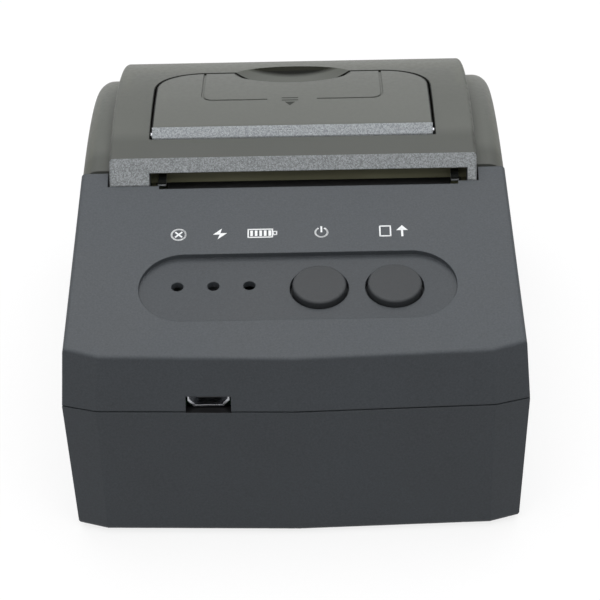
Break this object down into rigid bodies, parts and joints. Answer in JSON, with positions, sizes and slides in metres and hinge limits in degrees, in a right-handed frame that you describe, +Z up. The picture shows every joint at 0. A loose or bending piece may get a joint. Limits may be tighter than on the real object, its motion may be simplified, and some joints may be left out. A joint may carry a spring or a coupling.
{
  "type": "receipt printer",
  "caption": "Portable thermal receipt printer with a sloping button deck, smoky hinged lid carrying the platen, lift flap, gear train, paper bin and battery door.",
  "frame": {"origin": "centre of the bounding box's bottom, on the surface the feet stand on", "axes": "+Z up, -Y towards the user's side with the buttons, +X to the user's right"},
  "size_m": [0.086, 0.108, 0.0594],
  "materials": {
    "case_plastic": "fine matte texture",
    "lid_plastic": "smoky satin",
    "bin_plastic": "matte black",
    "foot_rubber": "matte",
    "roller_rubber": "ground",
    "gear_plastic": "natural acetal",
    "steel": "bright",
    "head_metal": "satin",
    "head_ceramic": "glazed line",
    "board_green": "solder mask",
    "battery_wrap": "shrink film",
    "light_lens": "diffused",
    "plunger_plastic": "plain"
  },
  "bodies": {
    "base": {"lower_case": "case_plastic", "battery_door": "case_plastic", "battery_door_screw": "steel", "battery_pack": "battery_wrap", "rubber_feet": "foot_rubber", "case_screws": "steel", "board_screws": "steel", "upper_case": "case_plastic", "tear_bar": "case_plastic", "paper_bin": "bin_plastic", "main_board": "board_green", "board_components": "bin_plastic", "usb_shell": "steel", "usb_tongue": "gear_plastic", "key_board": "board_green", "key_screws": "steel", "tact_switches": "bin_plastic", "status_lights": "light_lens", "gear_stud": "steel", "mechanism_frame": "bin_plastic", "frame_screws": "steel", "head_springs": "steel", "motor": "steel", "paper_sensor": "bin_plastic"},
    "lid": {"lid_shell": "lid_plastic", "hinge_pins": "steel", "platen_bushings": "gear_plastic", "flap_spring": "steel"},
    "flap": {"lid_flap": "lid_plastic", "flap_pin": "steel"},
    "platen": {"platen_rubber": "roller_rubber", "platen_shaft": "steel", "platen_gear": "gear_plastic"},
    "wheel": {"compound_gear": "gear_plastic"},
    "pinion": {"motor_pinion": "gear_plastic", "motor_shaft": "steel"},
    "head": {"head_plate": "head_metal", "head_strip": "head_ceramic"},
    "power_key": {"power_button": "case_plastic", "power_plunger": "plunger_plastic"},
    "feed_key": {"feed_button": "case_plastic", "feed_plunger": "plunger_plastic"}
  },
  "joints": [
    {"name": "lid_hinge", "type": "hinge", "parent": "base", "child": "lid", "pos_m": [0, 0.0515, 0.032], "axis": [-1, 0, 0], "range_deg": [0, 95]},
    {"name": "flap_lift", "type": "hinge", "parent": "lid", "child": "flap", "pos_m": [0, 0.0015, 0.05686], "axis": [1, 0, 0], "range_deg": [0, 30], "stiffness_Nm_per_rad": 0.01, "springref_deg": -17.19, "deforming": ["flap_spring"]},
    {"name": "platen_spin", "type": "hinge", "parent": "lid", "child": "platen", "pos_m": [0, -0.0003, 0.04482], "axis": [1, 0, 0], "continuous": true},
    {"name": "wheel_spin", "type": "hinge", "parent": "base", "child": "wheel", "pos_m": [0, -0.0026, 0.0356], "axis": [1, 0, 0], "continuous": true},
    {"name": "pinion_spin", "type": "hinge", "parent": "base", "child": "pinion", "pos_m": [0, -0.01084, 0.02831], "axis": [1, 0, 0], "continuous": true},
    {"name": "head_rock", "type": "hinge", "parent": "base", "child": "head", "pos_m": [0, -0.0066, 0.03842], "axis": [1, 0, 0], "range_deg": [0, 2], "stiffness_Nm_per_rad": 0.05, "springref_deg": -5.73, "deforming": ["head_springs"]},
    {"name": "power_press", "type": "slide", "parent": "base", "child": "power_key", "axis": [0, 0.1942, -0.981], "range_m": [0, 0.0005], "stiffness_N_per_m": 400, "springref_m": -0.0015},
    {"name": "feed_press", "type": "slide", "parent": "base", "child": "feed_key", "axis": [0, 0.1942, -0.981], "range_m": [0, 0.0005], "stiffness_N_per_m": 400, "springref_m": -0.0015}
  ],
  "couplings": [
    {"joint": "wheel_spin", "follows": "platen_spin", "ratio": -1.7143},
    {"joint": "pinion_spin", "follows": "platen_spin", "ratio": 4.5714}
  ]
}
